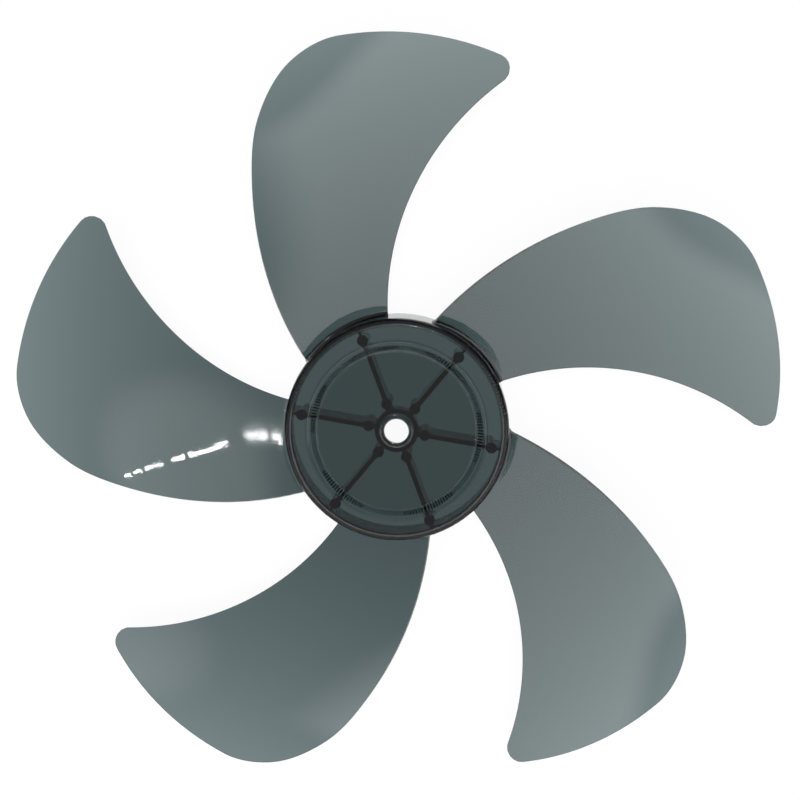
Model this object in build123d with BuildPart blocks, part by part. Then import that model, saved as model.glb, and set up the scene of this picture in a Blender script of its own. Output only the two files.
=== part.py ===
# Pedestal fan blade: one clear smoke-grey moulding of five swept blades on a cup-shaped hub.
# Millimetres. The origin is the centre of the shaft hole, on the raised seat in front, where
# the spinner nut clamps. +Z runs along the shaft towards the front, and +Y is up in use.
import math
import os

from build123d import *

# Driving dimensions: the whole fan
tip_circle_d = 390.0        # swept circle over the blade tips
blade_count = 5

# Hub cup
hub_d = 117.4               # over the rear rim
hub_depth = 31.0            # from the front of the outer band to the rear rim
hub_draft = 2.6             # degrees, so that the cup leaves its mould
hub_wall = 2.2
shoulder_radius = 3.5       # rounded front edge of the cup
band_height = 2.2           # outer band of the face, forward of the middle disc
band_wall = 2.4
disc_d = 80.0               # recessed middle disc
disc_wall = 2.8
fluted_step_width = 5.6     # sloping step between the disc and the outer band

# Shaft hole, seat and boss
shaft_hole_d = 12.5
seat_d = 16.8               # raised ring that the spinner nut bears on
seat_height = 0.8
socket_d = 18.0             # bore of the boss, behind the disc
socket_depth = 14.0
boss_wall = 2.0
pin_slot_width = 4.4        # slot across the boss for the drive pin of the shaft
pin_slot_depth = 5.0

# Ribs and ejector posts behind the face
rib_count = 6
first_rib_angle = 50.0
rib_thickness = 2.4
rib_tail_thickness = 1.4    # thinner web from the outer post to the cup wall
rib_depth = 21.5            # behind the disc
post_d = 5.6
inner_post_radius = 14.6
outer_post_radius = 49.1

# Blade outline, for the blade that points up. Insets are measured inwards from the tip circle.
lead_root_angle = 95.4      # where the leading edge meets the hub
lead_bow = 20.0             # hollow of the leading edge, below its chord
nose_angle = 70.5           # sharp corner before the nose is rounded
nose_inset = 3.2
nose_radius = 6.3
crown_angle = 91.5          # where the outer edge touches the tip circle
rim_end_angle = 97.8
rim_end_inset = 0.3
corner_angle = 105.4
corner_inset = 7.1
shoulder_angle = 113.3
shoulder_inset = 26.8
widest_angle = 119.5
widest_inset = 52.2
trail_root_angle = 143.3    # where the trailing edge meets the hub

# Blade surface, as four sections of a wide blank
stack_angle = 105.0         # line along which the sections are stacked
rake = 11.5                 # degrees, forward lean of that line
stack_root_z = -24.0        # height of that line at the first section
root_section_inset = 16.5   # first section, inside the cup
blank_half_width = 121.0    # to either side of that line, past the outline
root_pitch = 20.0           # degrees, from the hub outwards
inner_pitch = 17.2
outer_pitch = 9.6
tip_pitch = 3.2
root_camber_radius = 380.0  # hollow side faces the front
tip_camber_radius = 2600.0  # nearly flat at the tip
root_thickness = 2.4
tip_thickness = 1.3

# Worked out from the dimensions above
tip_radius = tip_circle_d / 2
disc_front = -seat_height
disc_back = disc_front - disc_wall
band_front = disc_front + band_height
band_back = band_front - band_wall
rear_rim = band_front - hub_depth
draft_run = hub_depth * math.tan(math.radians(hub_draft))
hub_rear_radius = hub_d / 2
hub_front_radius = hub_rear_radius - draft_run
cup_rear_radius = hub_rear_radius - hub_wall
cup_front_radius = hub_front_radius - hub_wall
step_inner_radius = disc_d / 2
step_outer_radius = step_inner_radius + fluted_step_width
boss_radius = socket_d / 2 + boss_wall
disc_middle = (disc_front + disc_back) / 2
band_middle = (band_front + band_back) / 2
cup_middle_radius = (hub_front_radius + cup_rear_radius) / 2


def polar(radius, angle):
    """A point at a radius and an angle about the shaft."""
    return (radius * math.cos(math.radians(angle)), radius * math.sin(math.radians(angle)))


# Ribs, each with an ejector post near either end, cut to the inside of the cup
with BuildPart() as ribs:
    with BuildSketch(Plane.XY.offset(disc_back - rib_depth)):
        with PolarLocations(0, rib_count, start_angle=first_rib_angle):
            with Locations(((boss_radius - boss_wall / 2 + outer_post_radius) / 2, 0)):
                Rectangle(outer_post_radius - boss_radius + boss_wall / 2, rib_thickness)
            with Locations(((outer_post_radius + cup_middle_radius) / 2, 0)):
                Rectangle(cup_middle_radius - outer_post_radius, rib_tail_thickness)
            with Locations((inner_post_radius, 0), (outer_post_radius, 0)):
                Circle(post_d / 2)
    extrude(amount=rib_depth + band_front - disc_back)
    with BuildSketch(Plane.XZ):
        with BuildLine():
            Polyline(
                (0, rear_rim),
                (0, disc_middle),
                (step_inner_radius, disc_middle),
                (step_outer_radius, band_middle),
                (cup_middle_radius, band_middle),
                (cup_middle_radius, rear_rim),
                close=True,
            )
        make_face()
    revolve(axis=Axis.Z, mode=Mode.INTERSECT)


# Hub cup: one profile turned about the shaft
with BuildPart() as hub:
    with BuildSketch(Plane.XZ) as cup_profile:
        with BuildLine():
            Polyline(
                (shaft_hole_d / 2, 0),
                (seat_d / 2, 0),
                (seat_d / 2, disc_front),
                (step_inner_radius, disc_front),
                (step_outer_radius, band_front),
                (hub_front_radius, band_front),
                (hub_rear_radius, rear_rim),
                (cup_rear_radius, rear_rim),
                (cup_front_radius, band_back),
                (step_outer_radius, band_back),
                (step_inner_radius, disc_back),
                (shaft_hole_d / 2, disc_back),
                close=True,
            )
        make_face()
        front_corner = cup_profile.vertices().sort_by_distance((hub_front_radius, band_front))[0]
        fillet(front_corner, shoulder_radius)
        cup_corner = cup_profile.vertices().sort_by_distance((cup_front_radius, band_back))[0]
        chamfer(cup_corner, shoulder_radius - hub_wall / 2)
    revolve(axis=Axis.Z)

    # Boss with its socket, open to the rear
    with BuildSketch(Plane.XY.offset(disc_back)):
        Circle(boss_radius)
        Circle(socket_d / 2, mode=Mode.SUBTRACT)
    extrude(amount=-socket_depth)

    add(ribs.part)

    # Slot for the drive pin
    with BuildSketch(Plane.XY.offset(disc_back - socket_depth)):
        Rectangle(2 * boss_radius, pin_slot_width)
    extrude(amount=pin_slot_depth, mode=Mode.SUBTRACT)


# One blade: a twisted, cambered blank, trimmed to the blade's outline
pitches = (root_pitch, inner_pitch, outer_pitch, tip_pitch)
first_section = cup_front_radius - root_section_inset
last_section = tip_radius + nose_radius
stack_direction = Vector(*polar(1, stack_angle), 0)
leading_direction = Vector(*polar(1, stack_angle - 90), 0)

with BuildPart() as blade:
    for number, pitch in enumerate(pitches):
        outward = number / (len(pitches) - 1)
        reach = (last_section - first_section) * outward
        middle_z = stack_root_z + reach * math.tan(math.radians(rake))
        thickness = root_thickness + (tip_thickness - root_thickness) * outward
        camber_radius = root_camber_radius * (tip_camber_radius / root_camber_radius) ** outward
        hollow = blank_half_width**2 / (2 * camber_radius)
        fall = blank_half_width * math.tan(math.radians(pitch))
        section_plane = Plane(
            origin=stack_direction * (first_section + reach) + Vector(0, 0, middle_z),
            x_dir=leading_direction,
            z_dir=-stack_direction,
        )
        with BuildSketch(section_plane):
            with BuildLine():
                front_face = ThreePointArc(
                    (-blank_half_width, fall + hollow + thickness / 2),
                    (0, thickness / 2),
                    (blank_half_width, -fall + hollow + thickness / 2),
                )
                rear_face = ThreePointArc(
                    (-blank_half_width, fall + hollow - thickness / 2),
                    (0, -thickness / 2),
                    (blank_half_width, -fall + hollow - thickness / 2),
                )
                Line(front_face @ 0, rear_face @ 0)
                Line(front_face @ 1, rear_face @ 1)
            make_face()
    loft()
    with BuildSketch(Plane.XY.offset(rear_rim)) as plan:
        with BuildLine():
            leading = SagittaArc(
                polar(cup_middle_radius, lead_root_angle),
                polar(tip_radius - nose_inset, nose_angle),
                lead_bow,
            )
            rim = ThreePointArc(
                leading @ 1,
                polar(tip_radius, crown_angle),
                polar(tip_radius - rim_end_inset, rim_end_angle),
            )
            corner = Spline(
                rim @ 1,
                polar(tip_radius - corner_inset, corner_angle),
                polar(tip_radius - shoulder_inset, shoulder_angle),
                polar(tip_radius - widest_inset, widest_angle),
                tangents=(rim % 1, (0, -1)),
            )
            trailing = TangentArc(
                corner @ 1, polar(cup_middle_radius, trail_root_angle), tangent=corner % 1
            )
            ThreePointArc(
                trailing @ 1,
                polar(cup_middle_radius, (trail_root_angle + lead_root_angle) / 2),
                leading @ 0,
            )
        make_face()
        nose = plan.vertices().sort_by_distance(polar(tip_radius - nose_inset, nose_angle))[0]
        fillet(nose, nose_radius)
    extrude(amount=3 * hub_depth, both=True, mode=Mode.INTERSECT)


# The moulding: the hub with its blades
with BuildPart() as fan_blade:
    add(hub.part)
    with PolarLocations(0, blade_count):
        add(blade.part)

fan_blade.part.label = "fan_blade"
os.makedirs("parts", exist_ok=True)
export_step(fan_blade.part, "parts/fan_blade.step")
bounds = fan_blade.part.bounding_box()
print("solids", len(fan_blade.part.solids()), "volume cm3", round(fan_blade.part.volume / 1000, 1))
print("size", [round(value, 1) for value in bounds.size], "lowest", round(bounds.min.Z, 2))
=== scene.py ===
# %% [markdown]
# # A smoke-grey fan blade
#
# The object is the bladed rotor of a pedestal fan: five swept blades on a cup-shaped hub,
# moulded in one shot from a clear, smoke-grey styrene plastic. There is no second material
# and no second part, so everything that the eye reads as light or dark, the black ribs, the
# dark rim of the cup and the pale blades, is the same plastic in different thicknesses.
#
# The solid is loaded first as a fixed frame. The script then turns, bends and joins a finer
# moulding in the same place, because clear plastic shows every facet of a coarse mesh twice:
# once in its reflection, and once in what is seen through it.

# %% Load the solid
import math

import bmesh
import bpy
from mathutils import Matrix, Vector


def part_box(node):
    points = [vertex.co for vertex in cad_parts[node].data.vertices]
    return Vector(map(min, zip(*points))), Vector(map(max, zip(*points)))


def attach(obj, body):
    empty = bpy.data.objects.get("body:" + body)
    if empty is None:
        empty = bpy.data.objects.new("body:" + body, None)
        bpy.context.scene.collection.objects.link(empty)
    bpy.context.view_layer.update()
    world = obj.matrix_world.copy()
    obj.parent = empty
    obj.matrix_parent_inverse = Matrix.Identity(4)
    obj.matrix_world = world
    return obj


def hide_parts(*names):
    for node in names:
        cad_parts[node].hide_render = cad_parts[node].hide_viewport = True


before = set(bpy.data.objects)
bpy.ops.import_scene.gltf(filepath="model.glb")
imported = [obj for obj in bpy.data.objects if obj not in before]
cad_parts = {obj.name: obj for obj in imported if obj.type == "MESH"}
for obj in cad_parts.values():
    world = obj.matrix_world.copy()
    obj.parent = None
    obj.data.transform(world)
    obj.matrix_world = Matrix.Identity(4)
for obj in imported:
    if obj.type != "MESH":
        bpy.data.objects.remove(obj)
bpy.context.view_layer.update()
low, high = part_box("fan_blade")
MM = 0.001
print("the solid spans", [round((b - a) / MM, 1) for a, b in zip(low, high)], "mm")

# %% [markdown]
# The camera looks nearly straight down at the front of the fan, from a little towards the
# top of the picture. Five equal blades make this easy to find out: seen square on, they
# would all have the same outline, and how much they differ gives the slant and the distance.

# %% Camera
CAMERA_PLACE = Vector((0.0217, 0.0803, 0.4916))
CAMERA_RIGHT = Vector((0.99921, -0.00515, -0.03945))
CAMERA_UP = Vector((0.0, 0.99158, -0.12949))
CAMERA_LENS = 44.1


def place_camera():
    """A camera that takes in the whole fan as the photograph does."""
    data = bpy.data.cameras.new("camera")
    data.sensor_width = 36.0
    data.lens = CAMERA_LENS
    data.clip_start = 0.01
    data.clip_end = 20.0
    camera = bpy.data.objects.new("camera", data)
    bpy.context.scene.collection.objects.link(camera)
    back = CAMERA_RIGHT.cross(CAMERA_UP).normalized()
    up = back.cross(CAMERA_RIGHT).normalized()
    turn = Matrix((CAMERA_RIGHT, up, back)).transposed().to_4x4()
    camera.matrix_world = Matrix.Translation(CAMERA_PLACE) @ turn
    bpy.context.scene.camera = camera
    return camera


camera = place_camera()
print("the camera is", round(CAMERA_PLACE.length, 3), "m from the shaft hole")

# %% [markdown]
# A few helpers come first. A shape is drawn in bmesh, where every step is an operator of
# the modelling tools, and then becomes an object whose place is in its mesh.

# %% Helpers
def polar(radius, degrees):
    """A point in plan, at a radius and an angle about the shaft."""
    angle = math.radians(degrees)
    return Vector((radius * math.cos(angle), radius * math.sin(angle)))


def to_object(name, shape):
    """Closes a bmesh, turns its faces outwards and makes it an object."""
    bmesh.ops.remove_doubles(shape, verts=shape.verts, dist=1e-7)
    bmesh.ops.recalc_face_normals(shape, faces=shape.faces)
    open_edges = sum(1 for edge in shape.edges if not edge.is_manifold)
    mesh = bpy.data.meshes.new(name)
    shape.to_mesh(mesh)
    shape.free()
    piece = bpy.data.objects.new(name, mesh)
    bpy.context.scene.collection.objects.link(piece)
    print(name, len(mesh.polygons), "faces,", open_edges, "open edges")
    return piece


# %% [markdown]
# ## The hub
#
# A moulded hub is a cup: a face with a recessed middle, a rounded shoulder and a side wall
# that widens to the rear by a few degrees so that it slips off the steel core of the mould.
# On the real thing all of this is turned in the mould, so it is turned here too: one closed
# outline of the wall is drawn as a flat face beside the shaft, its corners are rounded with
# a vertex bevel, and a full spin makes the cup and the boss in one go. A stack of cylinders
# would need a boolean for each step and would leave every edge knife-sharp.

# %% Sizes of the hub
HUB_REAR_RADIUS = 58.7 * MM
HUB_DEPTH = 31.0 * MM
HUB_DRAFT = math.radians(2.6)
HUB_WALL = 2.2 * MM
SHOULDER_RADIUS = 3.5 * MM
CUP_CORNER_RADIUS = 2.4 * MM
SMALL_RADIUS = 0.35 * MM
SHOULDER_SEGMENTS = 8
CUP_CORNER_SEGMENTS = 5
SMALL_SEGMENTS = 2
BAND_HEIGHT = 2.2 * MM
BAND_WALL = 2.4 * MM
DISC_RADIUS = 40.4 * MM
DISC_WALL = 2.8 * MM
STEP_WIDTH = 5.2 * MM
STEP_BACK_SHIFT = 1.3 * MM        # the step lies further out on the back of the wall
SHAFT_HOLE_RADIUS = 6.25 * MM
SEAT_RADIUS = 8.4 * MM
SEAT_HEIGHT = 0.8 * MM
SOCKET_RADIUS = 9.0 * MM
SOCKET_DEPTH = 14.0 * MM
BOSS_RADIUS = 11.0 * MM

DISC_FRONT = -SEAT_HEIGHT
DISC_BACK = DISC_FRONT - DISC_WALL
BAND_FRONT = DISC_FRONT + BAND_HEIGHT
BAND_BACK = BAND_FRONT - BAND_WALL
REAR_RIM = BAND_FRONT - HUB_DEPTH
STEP_RADIUS = DISC_RADIUS + STEP_WIDTH
HUB_FRONT_RADIUS = HUB_REAR_RADIUS - HUB_DEPTH * math.tan(HUB_DRAFT)
DISC_MIDDLE = (DISC_FRONT + DISC_BACK) / 2
BAND_MIDDLE = (BAND_FRONT + BAND_BACK) / 2
WALL_MIDDLE = HUB_FRONT_RADIUS / 2 + (HUB_REAR_RADIUS - HUB_WALL) / 2
print("the hub is", round(2 * HUB_REAR_RADIUS / MM, 1), "mm across at the rear")

# %% Turn the hub
TURNS = 360                     # one column for each degree
FLUTE_DEPTH = 0.7 * MM
SHOULDER_FLUTE_DEPTH = 0.4 * MM
LONGEST_STEP_EDGE = 2.4 * MM
STEP_CUTS = 5


def round_corners(shape, corners, radius, segments):
    """Rounds some corners of a flat face."""
    bmesh.ops.bevel(
        shape,
        geom=corners,
        offset=radius,
        offset_type="OFFSET",
        segments=segments,
        profile=0.5,
        affect="VERTICES",
        clamp_overlap=True,
        material=-1,
    )


def turn_hub():
    """The cup, its face and the boss, spun from one outline of the wall."""
    shape = bmesh.new()
    outline = (
        (SHAFT_HOLE_RADIUS, 0.0),
        (SEAT_RADIUS, 0.0),
        (SEAT_RADIUS, DISC_FRONT),
        (DISC_RADIUS, DISC_FRONT),
        (STEP_RADIUS, BAND_FRONT),
        (HUB_FRONT_RADIUS, BAND_FRONT),
        (HUB_REAR_RADIUS, REAR_RIM),
        (HUB_REAR_RADIUS - HUB_WALL, REAR_RIM),
        (HUB_FRONT_RADIUS - HUB_WALL, BAND_BACK),
        (STEP_RADIUS + STEP_BACK_SHIFT, BAND_BACK),
        (DISC_RADIUS + STEP_BACK_SHIFT, DISC_BACK),
        (BOSS_RADIUS, DISC_BACK),
        (BOSS_RADIUS, DISC_BACK - SOCKET_DEPTH),
        (SOCKET_RADIUS, DISC_BACK - SOCKET_DEPTH),
        (SOCKET_RADIUS, DISC_BACK),
        (SHAFT_HOLE_RADIUS, DISC_BACK),
    )
    corners = [shape.verts.new((radius, 0.0, height)) for radius, height in outline]
    shape.faces.new(corners)
    shoulder, cup_corner = corners[5], corners[8]
    others = [corner for corner in corners if corner not in (shoulder, cup_corner)]
    round_corners(shape, [shoulder], SHOULDER_RADIUS, SHOULDER_SEGMENTS)
    round_corners(shape, [cup_corner], CUP_CORNER_RADIUS, CUP_CORNER_SEGMENTS)
    round_corners(shape, others, SMALL_RADIUS, SMALL_SEGMENTS)
    bmesh.ops.delete(shape, geom=shape.faces[:], context="FACES_ONLY")
    cut_step_edges(shape)
    bmesh.ops.spin(
        shape,
        geom=shape.verts[:] + shape.edges[:],
        cent=(0, 0, 0),
        axis=(0, 0, 1),
        dvec=(0, 0, 0),
        angle=2 * math.pi,
        steps=TURNS,
        use_merge=True,
        use_duplicate=False,
    )
    return shape


def cut_step_edges(shape):
    """Cuts the long runs of the step into short ones, so that flutes can fade at its ends."""
    for edge in shape.edges[:]:
        middle = (edge.verts[0].co + edge.verts[1].co) / 2
        on_step = DISC_RADIUS < middle.x < STEP_RADIUS and middle.z > DISC_FRONT
        if on_step and edge.calc_length() > LONGEST_STEP_EDGE:
            bmesh.ops.subdivide_edges(shape, edges=[edge], cuts=STEP_CUTS)


hub_shape = turn_hub()
print("the hub has", len(hub_shape.faces), "faces")

# %% [markdown]
# The sloping step between the disc and the outer band is fluted: a fine saw-tooth ring that
# glitters as dots and dashes where it catches the light. The spin has left a column of
# points at every degree, so pressing in every second column is all that the flutes need.

# %% Flute the step
def flute(shape, inner, outer, depth):
    """Presses in every second column of the front face between two radii."""
    pressed = 0
    for vertex in shape.verts:
        radius = vertex.co.xy.length
        column = round(math.degrees(math.atan2(vertex.co.y, vertex.co.x)))
        if inner < radius < outer and vertex.co.z > DISC_FRONT and column % 2:
            vertex.co.z -= depth
            pressed += 1
    return pressed


FLUTE_MARGIN = 0.5 * MM
SHOULDER_FLUTE_START = HUB_FRONT_RADIUS - SHOULDER_RADIUS + FLUTE_MARGIN
SHOULDER_FLUTE_LENGTH = 1.5 * MM
SHOULDER_FLUTE_END = SHOULDER_FLUTE_START + SHOULDER_FLUTE_LENGTH
pressed = flute(hub_shape, DISC_RADIUS + FLUTE_MARGIN, STEP_RADIUS - FLUTE_MARGIN, FLUTE_DEPTH)
pressed += flute(hub_shape, SHOULDER_FLUTE_START, SHOULDER_FLUTE_END, SHOULDER_FLUTE_DEPTH)
hub = to_object("hub", hub_shape)
print("pressed in", pressed, "points for", TURNS // 2, "flutes")

# %% [markdown]
# ## Ribs and posts
#
# Behind the face run six thin ribs, each with a round post near either end, where the pins
# that push the moulding out of its mould stand. They are seen through the clear face, edge
# on, and that is why they look black. A rib is drawn as its side view, which follows the
# back of the face, and is then extruded to its thickness.

# %% Sizes of the ribs
RIB_COUNT = 6
FIRST_RIB_ANGLE = math.radians(50.0)
RIB_THICKNESS = 2.4 * MM
RIB_TAIL_THICKNESS = 1.4 * MM
RIB_REAR = DISC_BACK - 21.5 * MM
POST_RADIUS = 2.8 * MM
POST_SEGMENTS = 40
INNER_POST_RADIUS = 14.6 * MM
OUTER_POST_RADIUS = 49.1 * MM
RIB_START = BOSS_RADIUS - 1.0 * MM


# %% Make the ribs
def add_web(shape, side_view, thickness, turn):
    """A web between the boss and the wall, extruded from its side view."""
    corners = [shape.verts.new((radius, -thickness / 2, height)) for radius, height in side_view]
    side = shape.faces.new(corners)
    grown = bmesh.ops.extrude_face_region(shape, geom=[side])["geom"]
    new_corners = [item for item in grown if isinstance(item, bmesh.types.BMVert)]
    bmesh.ops.translate(shape, verts=new_corners, vec=(0, thickness, 0))
    bmesh.ops.rotate(shape, verts=corners + new_corners, cent=(0, 0, 0), matrix=turn)


def add_post(shape, radius, front, turn):
    """A round ejector post, from the back of the face to the rear edge of its rib."""
    place = Matrix.Translation((radius, 0, (front + RIB_REAR) / 2))
    bmesh.ops.create_cone(
        shape,
        cap_ends=True,
        segments=POST_SEGMENTS,
        radius1=POST_RADIUS,
        radius2=POST_RADIUS,
        depth=front - RIB_REAR,
        matrix=turn.to_4x4() @ place,
    )


def make_ribs():
    """All webs and posts in one mesh. They still pass through each other."""
    shape = bmesh.new()
    web = (
        (RIB_START, RIB_REAR),
        (RIB_START, DISC_MIDDLE),
        (DISC_RADIUS, DISC_MIDDLE),
        (STEP_RADIUS, BAND_MIDDLE),
        (OUTER_POST_RADIUS, BAND_MIDDLE),
        (OUTER_POST_RADIUS, RIB_REAR),
    )
    tail = (
        (OUTER_POST_RADIUS, RIB_REAR),
        (OUTER_POST_RADIUS, BAND_MIDDLE),
        (WALL_MIDDLE, BAND_MIDDLE),
        (WALL_MIDDLE, RIB_REAR),
    )
    for number in range(RIB_COUNT):
        turn = Matrix.Rotation(FIRST_RIB_ANGLE + number * 2 * math.pi / RIB_COUNT, 3, "Z")
        add_web(shape, web, RIB_THICKNESS, turn)
        add_web(shape, tail, RIB_TAIL_THICKNESS, turn)
        add_post(shape, INNER_POST_RADIUS, DISC_MIDDLE, turn)
        add_post(shape, OUTER_POST_RADIUS, BAND_MIDDLE, turn)
    return shape


ribs = to_object("ribs", make_ribs())

# %% [markdown]
# ## The blade
#
# A fan blade is a twisted, slightly hollow wall. Its plan is easy to draw: a concave
# leading edge, a small round nose, the rim along the swept circle, and one long curve down
# the trailing side. Its surface is given by four sections across the blade, steep at the
# hub and nearly flat at the tip, with a smooth cubic between them. Sculpting it by hand
# would give a blade that only looks right, and its reflections would wander.

# %% Outline of the blade
TIP_RADIUS = 194.8 * MM
LEAD_ROOT_ANGLE = 95.4
LEAD_BOW = 20.0 * MM
NOSE_ANGLE = 70.5
NOSE_INSET = 3.2 * MM
NOSE_RADIUS = 6.3 * MM
CROWN_ANGLE = 91.5
RIM_END_ANGLE = 97.8
RIM_END_INSET = 0.3 * MM
CORNER_ANGLE = 105.4
CORNER_INSET = 7.1 * MM
SHOULDER_ANGLE = 113.3
SHOULDER_INSET = 26.8 * MM
WIDEST_ANGLE = 119.5
WIDEST_INSET = 52.2 * MM
TRAIL_ROOT_ANGLE = 143.3


def centre_of(a, b, c):
    """The centre of the circle through three points."""
    p, q = b - a, c - a
    twice_area = 2 * (p.x * q.y - p.y * q.x)
    x = (q.y * p.length_squared - p.y * q.length_squared) / twice_area
    y = (p.x * q.length_squared - q.x * p.length_squared) / twice_area
    return a + Vector((x, y))


def arc_about(centre, start, end, count):
    """Points along a circle from start to end, the shorter way round."""
    first = math.atan2(start.y - centre.y, start.x - centre.x)
    last = math.atan2(end.y - centre.y, end.x - centre.x)
    sweep = (last - first + math.pi) % (2 * math.pi) - math.pi
    radius = (start - centre).length
    angles = [first + sweep * step / count for step in range(count + 1)]
    return [centre + radius * Vector((math.cos(angle), math.sin(angle))) for angle in angles]


def smooth_curve(stops, start_way, end_way, count):
    """Points along a smooth curve through the stops, with a given direction at its ends."""
    chords = [(b - a).length for a, b in zip(stops, stops[1:])]
    ways = [start_way.normalized()]
    for number in range(1, len(stops) - 1):
        before, after = chords[number - 1], chords[number]
        slope = (stops[number] - stops[number - 1]) * after / before
        slope += (stops[number + 1] - stops[number]) * before / after
        ways.append(slope / (before + after))
    ways.append(end_way.normalized())
    points = [stops[0]]
    for number, chord in enumerate(chords):
        for step in range(1, count + 1):
            t = step / count
            point = stops[number] * (1 + 2 * t) * (1 - t) ** 2
            point += ways[number] * chord * t * (1 - t) ** 2
            point += stops[number + 1] * t * t * (3 - 2 * t)
            point += ways[number + 1] * chord * t * t * (t - 1)
            points.append(point)
    return points


def circle_between(hollow_centre, hollow_radius, round_centre, round_radius, radius, near):
    """The centre of a small circle that touches a hollow edge and lies inside a round one."""
    first, second = hollow_radius + radius, round_radius - radius
    apart = round_centre - hollow_centre
    along = (first**2 - second**2 + apart.length_squared) / (2 * apart.length)
    aside = math.sqrt(first**2 - along**2)
    way = apart.normalized()
    across = Vector((-way.y, way.x)) * aside
    foot = hollow_centre + way * along
    return min((foot + across, foot - across), key=lambda centre: (centre - near).length)


# %% Draw the outline
CURVE_STEPS = 60

lead_root = polar(WALL_MIDDLE, LEAD_ROOT_ANGLE)
nose = polar(TIP_RADIUS - NOSE_INSET, NOSE_ANGLE)
lead_way = (nose - lead_root).normalized()
lead_hollow = (lead_root + nose) / 2 + Vector((-lead_way.y, lead_way.x)) * LEAD_BOW
rim_end = polar(TIP_RADIUS - RIM_END_INSET, RIM_END_ANGLE)
lead_centre = centre_of(lead_root, lead_hollow, nose)
rim_centre = centre_of(nose, polar(TIP_RADIUS, CROWN_ANGLE), rim_end)
lead_radius = (nose - lead_centre).length
rim_radius = (nose - rim_centre).length
nose_centre = circle_between(lead_centre, lead_radius, rim_centre, rim_radius, NOSE_RADIUS, nose)
lead_touch = lead_centre + (nose_centre - lead_centre).normalized() * lead_radius
rim_touch = rim_centre + (nose_centre - rim_centre).normalized() * rim_radius
nose_way = ((lead_touch + rim_touch) / 2 - nose_centre).normalized()
nose_tip = nose_centre + nose_way * NOSE_RADIUS

rim = arc_about(rim_centre, rim_touch, rim_end, CURVE_STEPS)
corner = smooth_curve(
    [
        rim_end,
        polar(TIP_RADIUS - CORNER_INSET, CORNER_ANGLE),
        polar(TIP_RADIUS - SHOULDER_INSET, SHOULDER_ANGLE),
        polar(TIP_RADIUS - WIDEST_INSET, WIDEST_ANGLE),
    ],
    rim[-1] - rim[-2],
    Vector((0, -1)),
    CURVE_STEPS,
)
trail_root = polar(WALL_MIDDLE, TRAIL_ROOT_ANGLE)
trail_run = trail_root - corner[-1]
trail_centre = corner[-1] + Vector((trail_run.length_squared / (2 * trail_run.x), 0))
trailing = arc_about(trail_centre, corner[-1], trail_root, CURVE_STEPS)

lead_side = arc_about(lead_centre, lead_root, lead_touch, 2 * CURVE_STEPS)
lead_side += arc_about(nose_centre, lead_touch, nose_tip, CURVE_STEPS)[1:]
trail_side = (corner[CURVE_STEPS:] + trailing[1:])[::-1]
root_side = arc_about(Vector((0, 0)), trail_root, lead_root, CURVE_STEPS)
rim_side = arc_about(nose_centre, nose_tip, rim_touch, CURVE_STEPS) + rim[1:]
rim_side = (rim_side + corner[1:CURVE_STEPS + 1])[::-1]
reach = max(point.length for point in rim_side)
print("the blade reaches", round(reach / MM, 1), "mm from the shaft")

# %% [markdown]
# The four sides of the outline carry a sheet of square cells: a point of the sheet is
# placed by how far it lies along each of the two pairs of sides. The cells follow the
# edges, so an edge can be rounded later, and they are finest at the hub, where the wall
# swells into its fillet.

# %% Blade surface
STACK_ANGLE = 105.0
RAKE = math.radians(11.5)
STACK_ROOT_Z = -24.0 * MM
ROOT_SECTION_INSET = 16.5 * MM
BLANK_HALF_WIDTH = 121.0 * MM
PITCHES = (20.0, 17.2, 9.6, 3.2)
ROOT_CAMBER_RADIUS = 380.0 * MM
TIP_CAMBER_RADIUS = 2600.0 * MM
ROOT_THICKNESS = 2.4 * MM
TIP_THICKNESS = 1.3 * MM
ROOT_FILLET = 2.0 * MM
FIRST_SECTION = HUB_FRONT_RADIUS - HUB_WALL - ROOT_SECTION_INSET
LAST_SECTION = TIP_RADIUS + NOSE_RADIUS
STACK_WAY = polar(1, STACK_ANGLE)
LEADING_WAY = polar(1, STACK_ANGLE - 90)


def section_circle(number):
    """Centre and radius of one section's arc, in the plane of the section."""
    share = number / (len(PITCHES) - 1)
    reach = (LAST_SECTION - FIRST_SECTION) * share
    middle = STACK_ROOT_Z + reach * math.tan(RAKE)
    camber = ROOT_CAMBER_RADIUS * (TIP_CAMBER_RADIUS / ROOT_CAMBER_RADIUS) ** share
    hollow = BLANK_HALF_WIDTH**2 / (2 * camber)
    fall = BLANK_HALF_WIDTH * math.tan(math.radians(PITCHES[number]))
    ends = [Vector((side * BLANK_HALF_WIDTH, middle + hollow - side * fall)) for side in (-1, 1)]
    centre = centre_of(ends[0], Vector((0, middle)), ends[1])
    return centre, (ends[0] - centre).length


CIRCLES = [section_circle(number) for number in range(len(PITCHES))]


def share_along(place):
    """How far a point in plan lies along the blade, from 0 at the first section to 1."""
    return (place.dot(STACK_WAY) - FIRST_SECTION) / (LAST_SECTION - FIRST_SECTION)


def blade_height(place):
    """Height of the middle of the wall: a cubic along the blade through the four sections."""
    along = share_along(place) * (len(CIRCLES) - 1)
    across = place.dot(LEADING_WAY)
    height = 0.0
    for number, (centre, radius) in enumerate(CIRCLES):
        weight = 1.0
        for other in range(len(CIRCLES)):
            if other != number:
                weight *= (along - other) / (number - other)
        height += weight * (centre.y - math.sqrt(radius**2 - (across - centre.x) ** 2))
    return height


def blade_normal(place):
    """The direction square to the blade's surface, towards the front."""
    nudge = 0.1 * MM
    here = blade_height(place)
    along_x = (blade_height(place + Vector((nudge, 0))) - here) / nudge
    along_y = (blade_height(place + Vector((0, nudge))) - here) / nudge
    return Vector((-along_x, -along_y, 1)).normalized()


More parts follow.
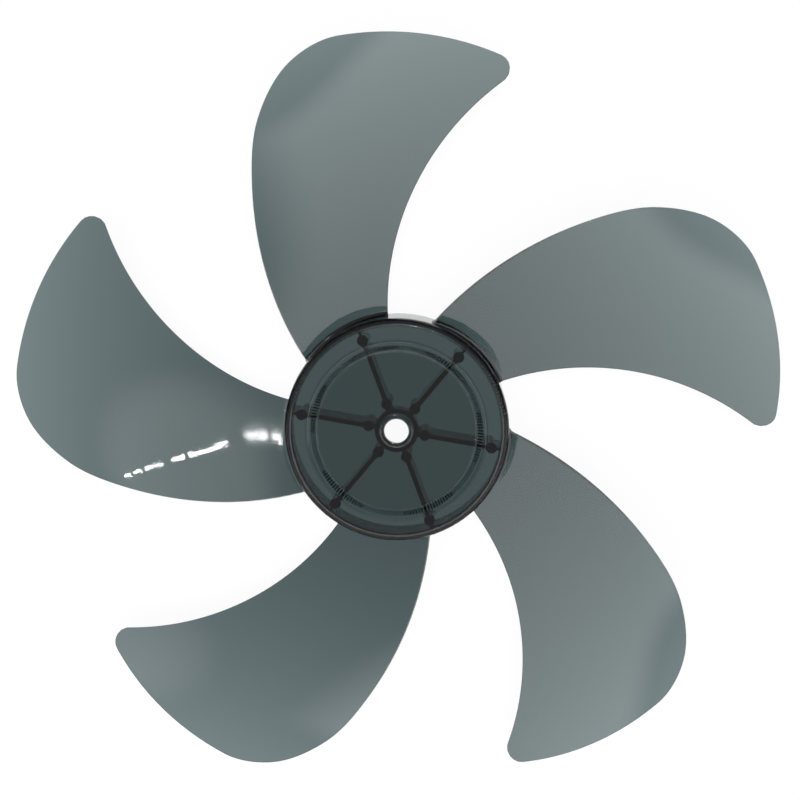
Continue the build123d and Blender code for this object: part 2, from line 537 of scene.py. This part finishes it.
def blade_thickness(place, height):
    """The wall thins towards the tip, and swells where it grows out of the hub."""
    wall = ROOT_THICKNESS + (TIP_THICKNESS - ROOT_THICKNESS) * share_along(place)
    hub_surface = HUB_FRONT_RADIUS + (BAND_FRONT - height) * math.tan(HUB_DRAFT)
    clear = min(max(place.length - hub_surface, 0.0), ROOT_FILLET)
    swell = ROOT_FILLET - math.sqrt(ROOT_FILLET**2 - (ROOT_FILLET - clear) ** 2)
    return wall + 2 * swell


# %% Bend one blade
CELLS_ACROSS = 48
CELLS_OUTWARD = 76
ROOT_CROWDING = 1.6             # over 1 draws the rows together at the hub
EDGE_ROUND = 0.45 * MM
EDGE_SEGMENTS = 3
SHARP_EDGE = math.radians(50)


def walk(points):
    """Gives a function from a share of a run's length to the point there."""
    reached = [0.0]
    for a, b in zip(points, points[1:]):
        reached.append(reached[-1] + (b - a).length)

    def point_at(share):
        wanted = share * reached[-1]
        number = 0
        while number < len(points) - 2 and reached[number + 1] < wanted:
            number += 1
        span = reached[number + 1] - reached[number]
        return points[number].lerp(points[number + 1], (wanted - reached[number]) / span)

    return point_at


SIDES = [walk(side) for side in (trail_side, lead_side, root_side, rim_side)]


def place_in_plan(across, outward):
    """A point of the sheet: between the two long sides and between root and rim."""
    trail, lead, root, rim_at = SIDES
    point = trail(outward).lerp(lead(outward), across) + root(across).lerp(rim_at(across), outward)
    near = trail(0).lerp(lead(0), across)
    far = trail(1).lerp(lead(1), across)
    return point - near.lerp(far, outward)


def bend_blade():
    """A flat grid is made a slab one unit thick, and the slab is laid on the surface."""
    shape = bmesh.new()
    bmesh.ops.create_grid(shape, x_segments=CELLS_ACROSS, y_segments=CELLS_OUTWARD, size=0.5)
    bmesh.ops.translate(shape, verts=shape.verts, vec=(0.5, 0.5, -0.5))
    grown = bmesh.ops.extrude_face_region(shape, geom=shape.faces[:])["geom"]
    front = [item for item in grown if isinstance(item, bmesh.types.BMVert)]
    bmesh.ops.translate(shape, verts=front, vec=(0, 0, 1))
    for vertex in shape.verts:
        place = place_in_plan(vertex.co.x, vertex.co.y**ROOT_CROWDING)
        height = blade_height(place)
        offset = blade_normal(place) * blade_thickness(place, height) * vertex.co.z
        vertex.co = Vector((place.x, place.y, height)) + offset
    bmesh.ops.recalc_face_normals(shape, faces=shape.faces)
    edges = [edge for edge in shape.edges if edge.calc_face_angle(0.0) > SHARP_EDGE]
    bmesh.ops.bevel(
        shape,
        geom=edges,
        offset=EDGE_ROUND,
        offset_type="OFFSET",
        segments=EDGE_SEGMENTS,
        profile=0.5,
        affect="EDGES",
        clamp_overlap=True,
        material=-1,
    )
    return shape


# %% [markdown]
# The five blades are one blade, turned about the shaft in steps of a fifth.

# %% Five blades
BLADE_COUNT = 5


def copy_round(shape, count):
    """Turned copies of all that is in the shape."""
    first = shape.verts[:] + shape.edges[:] + shape.faces[:]
    for number in range(1, count):
        copied = bmesh.ops.duplicate(shape, geom=first)["geom"]
        points = [item for item in copied if isinstance(item, bmesh.types.BMVert)]
        turn = Matrix.Rotation(number * 2 * math.pi / count, 3, "Z")
        bmesh.ops.rotate(shape, verts=points, cent=(0, 0, 0), matrix=turn)


blade_shape = bend_blade()
copy_round(blade_shape, BLADE_COUNT)
blades = to_object("blades", blade_shape)

# %% [markdown]
# ## One moulding
#
# The real fan is one piece of plastic, and light passes from a blade into the hub without
# meeting a surface. If the pieces only overlapped, their hidden faces would glitter inside
# the clear wall. An exact boolean union takes every inner face away. The slot across the
# boss, which the drive pin of the shaft sits in, is cut in the same pass.

# %% Join the moulding
PIN_SLOT_WIDTH = 4.4 * MM
PIN_SLOT_DEPTH = 5.0 * MM
PIN_SLOT_LENGTH = 2.2 * BOSS_RADIUS


def slot_block():
    """The space of the drive pin, across the rear end of the boss."""
    shape = bmesh.new()
    bmesh.ops.create_cube(shape, size=1.0)
    spans = (PIN_SLOT_LENGTH, PIN_SLOT_WIDTH, 2 * PIN_SLOT_DEPTH)
    bmesh.ops.scale(shape, verts=shape.verts, vec=spans)
    bmesh.ops.translate(shape, verts=shape.verts, vec=(0, 0, DISC_BACK - SOCKET_DEPTH))
    return to_object("slot", shape)


def combine(target, other, operation):
    """Adds a boolean step to the target."""
    step = target.modifiers.new(other.name, "BOOLEAN")
    step.operation = operation
    step.object = other
    step.solver = "EXACT"
    step.use_self = other.name == "ribs"


def applied(piece, name):
    """The piece with its modifiers applied, as a new object."""
    bpy.context.view_layer.update()
    shown = piece.evaluated_get(bpy.context.evaluated_depsgraph_get())
    mesh = bpy.data.meshes.new_from_object(shown)
    mesh.name = name
    result = bpy.data.objects.new(name, mesh)
    bpy.context.scene.collection.objects.link(result)
    return result


slot = slot_block()
combine(hub, ribs, "UNION")
combine(hub, slot, "DIFFERENCE")
combine(hub, blades, "UNION")
joined = applied(hub, "joined")
for helper in (hub, ribs, slot, blades):
    bpy.data.objects.remove(helper)
print("the moulding has", len(joined.data.polygons), "faces")

# %% [markdown]
# The polished steel of a mould leaves flat faces flat right up to their rounded corners.
# Shading that only averages the faces about a point would bend the mirror image of the whole
# disc, so each face counts by its size. Edges above the crease angle, such as the flutes,
# stay sharp.

# %% Shade it smooth
CREASE = math.radians(38)

joined.data.shade_smooth()
joined.data.set_sharp_from_angle(angle=CREASE)
weighting = joined.modifiers.new("weighting", "WEIGHTED_NORMAL")
weighting.keep_sharp = True
moulding = applied(joined, "fan_moulding")
bpy.data.objects.remove(joined)
check = bmesh.new()
check.from_mesh(moulding.data)
open_edges = sum(1 for edge in check.edges if not edge.is_manifold)
print("volume", round(check.calc_volume() * 1e6, 1), "cm3,", open_edges, "open edges")
check.free()
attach(moulding, "root")
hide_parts("fan_blade")

# %% [markdown]
# ## The plastic
#
# Smoke-grey styrene is a clear glass-like plastic with a little black and blue-green dye in
# it. The colour is not on the surface but in the depth: a wall of one millimetre lets a
# third of the light through, a wall of three millimetres only a twenty-fifth. A tinted surface
# would make ribs and blades equally dark, so the surface is left clear and the dye is a
# volume absorption. Its strength is per metre.

# %% Plastic
DYE_COLOUR = (0.375, 0.465, 0.4725, 1.0)
DYE_DENSITY = 2000.0
PLASTIC_IOR = 1.57
SKIN_GLOSS = (0.02, 0.07)       # roughness where the skin is clean, and where it is smeared
RIPPLE_SCALE = 450.0            # ripples of about two millimetres
RIPPLE_HEIGHT = 0.005 * MM
RIPPLE_DETAIL = 2.0
SMEAR_SCALE = 14.0              # smears of about seven centimetres
SMEAR_DETAIL = 4.0
SMEAR_DISTORTION = 0.6
SMEAR_SPAN = (0.4, 0.75)        # noise where the skin starts to smear, and where it is full


def smoke_plastic():
    """Clear glossy plastic with dye in its depth, and a faintly rippled, handled skin."""
    material = bpy.data.materials.new("smoke_clear_plastic")
    material.use_nodes = True
    nodes, links = material.node_tree.nodes, material.node_tree.links
    nodes.clear()
    output = nodes.new("ShaderNodeOutputMaterial")
    plastic = nodes.new("ShaderNodeBsdfPrincipled")
    plastic.inputs["Base Color"].default_value = (1.0, 1.0, 1.0, 1.0)
    plastic.inputs["IOR"].default_value = PLASTIC_IOR
    plastic.inputs["Transmission Weight"].default_value = 1.0
    links.new(plastic.outputs["BSDF"], output.inputs["Surface"])
    dye = nodes.new("ShaderNodeVolumeAbsorption")
    dye.inputs["Color"].default_value = DYE_COLOUR
    dye.inputs["Density"].default_value = DYE_DENSITY
    links.new(dye.outputs["Volume"], output.inputs["Volume"])
    place = nodes.new("ShaderNodeTexCoord")
    smear = nodes.new("ShaderNodeTexNoise")
    smear.inputs["Scale"].default_value = SMEAR_SCALE
    smear.inputs["Detail"].default_value = SMEAR_DETAIL
    smear.inputs["Distortion"].default_value = SMEAR_DISTORTION
    links.new(place.outputs["Object"], smear.inputs["Vector"])
    gloss = nodes.new("ShaderNodeMapRange")
    gloss.inputs["From Min"].default_value = SMEAR_SPAN[0]
    gloss.inputs["From Max"].default_value = SMEAR_SPAN[1]
    gloss.inputs["To Min"].default_value = SKIN_GLOSS[0]
    gloss.inputs["To Max"].default_value = SKIN_GLOSS[1]
    links.new(smear.outputs["Fac"], gloss.inputs["Value"])
    links.new(gloss.outputs["Result"], plastic.inputs["Roughness"])
    ripple = nodes.new("ShaderNodeTexNoise")
    ripple.inputs["Scale"].default_value = RIPPLE_SCALE
    ripple.inputs["Detail"].default_value = RIPPLE_DETAIL
    links.new(place.outputs["Object"], ripple.inputs["Vector"])
    bump = nodes.new("ShaderNodeBump")
    bump.inputs["Strength"].default_value = 1.0
    bump.inputs["Distance"].default_value = RIPPLE_HEIGHT
    links.new(ripple.outputs["Fac"], bump.inputs["Height"])
    links.new(bump.outputs["Normal"], plastic.inputs["Normal"])
    return material


moulding.data.materials.clear()
moulding.data.materials.append(smoke_plastic())

# %% [markdown]
# ## Floor and light
#
# The fan lies on a white ground. What the camera sees of it, directly, in a reflection or
# through the plastic, is mostly a plain white glow, and the rest is a white paint that
# still takes the fan's shadow. From below the ground is clear, so the rear can be seen.

# %% Floor
FLOOR_HALF_SIZE = 3.0
GLOW_SHARE = 0.94
PAINT_COLOUR = (0.9, 0.9, 0.9, 1.0)


def seen_rays(nodes, links):
    """One for rays that show the ground to the eye, nought for rays that only light."""
    path = nodes.new("ShaderNodeLightPath")
    total = None
    for name in ("Is Camera Ray", "Is Glossy Ray", "Is Transmission Ray"):
        if total is None:
            total = path.outputs[name]
            continue
        either = nodes.new("ShaderNodeMath")
        either.operation = "MAXIMUM"
        links.new(total, either.inputs[0])
        links.new(path.outputs[name], either.inputs[1])
        total = either.outputs[0]
    return total


def white_ground():
    """White paint under a glow that only the eye sees; clear from below."""
    material = bpy.data.materials.new("white_ground")
    material.use_nodes = True
    nodes, links = material.node_tree.nodes, material.node_tree.links
    nodes.clear()
    output = nodes.new("ShaderNodeOutputMaterial")
    paint = nodes.new("ShaderNodeBsdfDiffuse")
    paint.inputs["Color"].default_value = PAINT_COLOUR
    glow = nodes.new("ShaderNodeEmission")
    glow.inputs["Strength"].default_value = 1.0
    share = nodes.new("ShaderNodeMath")
    share.operation = "MULTIPLY"
    share.inputs[1].default_value = GLOW_SHARE
    links.new(seen_rays(nodes, links), share.inputs[0])
    mix = nodes.new("ShaderNodeMixShader")
    links.new(share.outputs[0], mix.inputs[0])
    links.new(paint.outputs[0], mix.inputs[1])
    links.new(glow.outputs[0], mix.inputs[2])
    side = nodes.new("ShaderNodeNewGeometry")
    clear = nodes.new("ShaderNodeBsdfTransparent")
    faces_up = nodes.new("ShaderNodeMixShader")
    links.new(side.outputs["Backfacing"], faces_up.inputs[0])
    links.new(mix.outputs[0], faces_up.inputs[1])
    links.new(clear.outputs[0], faces_up.inputs[2])
    links.new(faces_up.outputs[0], output.inputs["Surface"])
    return material


floor_shape = bmesh.new()
bmesh.ops.create_grid(floor_shape, x_segments=1, y_segments=1, size=FLOOR_HALF_SIZE)
bmesh.ops.translate(floor_shape, verts=floor_shape.verts, vec=(0, 0, low.z))
floor_mesh = bpy.data.meshes.new("floor")
floor_shape.to_mesh(floor_mesh)
floor_shape.free()
floor = bpy.data.objects.new("floor", floor_mesh)
bpy.context.scene.collection.objects.link(floor)
floor_mesh.materials.append(white_ground())
print("the floor lies", round(low.z / MM, 1), "mm below the seat")

# %% [markdown]
# A clear glossy thing has almost no colour of its own in a reflection: it shows the room.
# On the blades of the photograph one can read that room. The top blade and the lower right
# one carry a pale veil and the hub is deep, so the room is bright to the lower left, to the
# lower right and a little above the picture, and dim in the middle over the camera. All
# changes between the two are soft, for the veils have no edges. The walls of the room are
# darker than its ceiling, which draws the thin dark line along the edges of the blades. The
# broken streak along the left blade runs just where a bent row of ceiling tubes would be
# mirrored. Looked at straight or through the plastic, the surroundings are plain white. A
# fill light that the plastic doesn't mirror brings the floor to white.

# %% Sky
SKY_DIM = 0.4                   # over the camera; a white sheet in full light is 1
SKY_BRIGHT = 1.8                # towards the lower edge of the picture
SKY_LOBE = 1.3                  # in the patch above the picture
WALL_SHARE = 0.35               # what is left of it on the walls of the room
CAMERA_SPOT = Vector((-0.03, -0.15, 1.0)).normalized()
CAMERA_SPOT_EDGE = (9.0, 15.5)  # degrees from the middle of the spot to where it starts and ends
LOBE_SPOT = Vector((0.0, 0.4, 1.0)).normalized()
LOBE_EDGE = (16.0, 9.0)
SOUTH_EDGE = (0.05, -0.15)      # along Y, from dim to bright
WALL_EDGE = (0.62, 0.42)        # along Z, from ceiling to wall


def soft_step(nodes, links, source, off, on, low_value=0.0, high_value=1.0):
    """A smooth step: the low value where the source is at off, the high one at on."""
    step = nodes.new("ShaderNodeMapRange")
    step.interpolation_type = "SMOOTHSTEP"
    if on < off:
        off, on, low_value, high_value = on, off, high_value, low_value
    step.inputs["From Min"].default_value = off
    step.inputs["From Max"].default_value = on
    step.inputs["To Min"].default_value = low_value
    step.inputs["To Max"].default_value = high_value
    links.new(source, step.inputs["Value"])
    return step.outputs["Result"]


def combined(nodes, links, operation, first, second):
    """Two numbers put together by the named arithmetic."""
    arithmetic = nodes.new("ShaderNodeMath")
    arithmetic.operation = operation
    links.new(first, arithmetic.inputs[0])
    links.new(second, arithmetic.inputs[1])
    return arithmetic.outputs[0]


def near_spot(nodes, links, way, spot, edge, low_value=0.0, high_value=1.0):
    """A smooth step by how many degrees the way one looks lies from a spot in the sky."""
    compare = nodes.new("ShaderNodeVectorMath")
    compare.operation = "DOT_PRODUCT"
    compare.inputs[1].default_value = spot
    links.new(way, compare.inputs[0])
    off, on = (math.cos(math.radians(degrees)) for degrees in edge)
    return soft_step(nodes, links, compare.outputs["Value"], off, on, low_value, high_value)


def studio_sky():
    """A ceiling with soft bright sides and dim walls; looked at straight, a white ground."""
    world = bpy.data.worlds.new("sky")
    world.use_nodes = True
    nodes, links = world.node_tree.nodes, world.node_tree.links
    sky = nodes["Background"]
    sky.inputs["Color"].default_value = (1.0, 1.0, 1.0, 1.0)
    way = nodes.new("ShaderNodeTexCoord").outputs["Generated"]
    split = nodes.new("ShaderNodeSeparateXYZ")
    links.new(way, split.inputs["Vector"])
    off_camera = near_spot(nodes, links, way, CAMERA_SPOT, CAMERA_SPOT_EDGE)
    southward = soft_step(nodes, links, split.outputs["Y"], *SOUTH_EDGE, SKY_DIM, SKY_BRIGHT)
    south = combined(nodes, links, "MULTIPLY", off_camera, southward)
    lobe = near_spot(nodes, links, way, LOBE_SPOT, LOBE_EDGE, SKY_DIM, SKY_LOBE)
    upper = combined(nodes, links, "MAXIMUM", south, lobe)
    wall = soft_step(nodes, links, split.outputs["Z"], *WALL_EDGE, 1.0, WALL_SHARE)
    mirrored = combined(nodes, links, "MULTIPLY", upper, wall)
    path = nodes.new("ShaderNodeLightPath")
    straight = combined(nodes, links, "MAXIMUM", path.outputs["Is Camera Ray"],
                        path.outputs["Is Transmission Ray"])
    shown = nodes.new("ShaderNodeMix")
    shown.inputs["B"].default_value = 1.0
    links.new(straight, shown.inputs["Factor"])
    links.new(mirrored, shown.inputs["A"])
    links.new(shown.outputs["Result"], sky.inputs["Strength"])
    bpy.context.scene.world = world


studio_sky()

# %% Tubes
CEILING = 1.5                   # height of the tubes over the fan
TUBE_BRIGHTNESS = 45.0
TUBE_WIDTH = 0.009
TUBE_STOPS = (
    Vector((-0.25, 0.29)),
    Vector((-0.11, 0.455)),
    Vector((0.07, 0.65)),
    Vector((0.37, 0.89)),
)
LIT_PARTS = (                   # spans along the three straight rows, 0 to 1
    ((0.0, 0.16), (0.24, 0.44), (0.56, 0.76), (0.8, 1.0)),
    ((0.22, 0.5), (0.58, 1.0)),
    ((0.0, 0.28), (0.53, 0.77), (0.82, 0.98)),
)


def hang_tubes(start, end, parts):
    """Lit lengths of one straight row of tubes."""
    row = end - start
    for first, last in parts:
        middle = start + row * (first + last) / 2
        data = bpy.data.lights.new("tube", "AREA")
        data.shape = "RECTANGLE"
        data.size, data.size_y = row.length * (last - first), TUBE_WIDTH
        data.energy = TUBE_BRIGHTNESS * math.pi * data.size * data.size_y
        tube = bpy.data.objects.new("tube", data)
        bpy.context.scene.collection.objects.link(tube)
        tube.location = (middle.x, middle.y, CEILING)
        tube.rotation_euler.z = math.atan2(row.y, row.x)
        tube.visible_transmission = False


for start, end, parts in zip(TUBE_STOPS, TUBE_STOPS[1:], LIT_PARTS):
    hang_tubes(start, end, parts)
print("lit lengths of tube:", sum(len(parts) for parts in LIT_PARTS))

# %% Fill light
FILL = 0.45                     # what the floor still lacks to be lit as a white sheet
FILL_SPREAD = math.radians(60)


def hang_fill():
    """Even light from straight above that only the floor shows."""
    data = bpy.data.lights.new("fill", "SUN")
    data.energy = FILL * math.pi
    data.angle = FILL_SPREAD
    fill = bpy.data.objects.new("fill", data)
    bpy.context.scene.collection.objects.link(fill)
    fill.visible_glossy = False
    fill.visible_transmission = False


hang_fill()
bpy.context.scene.view_settings.view_transform = "Standard"
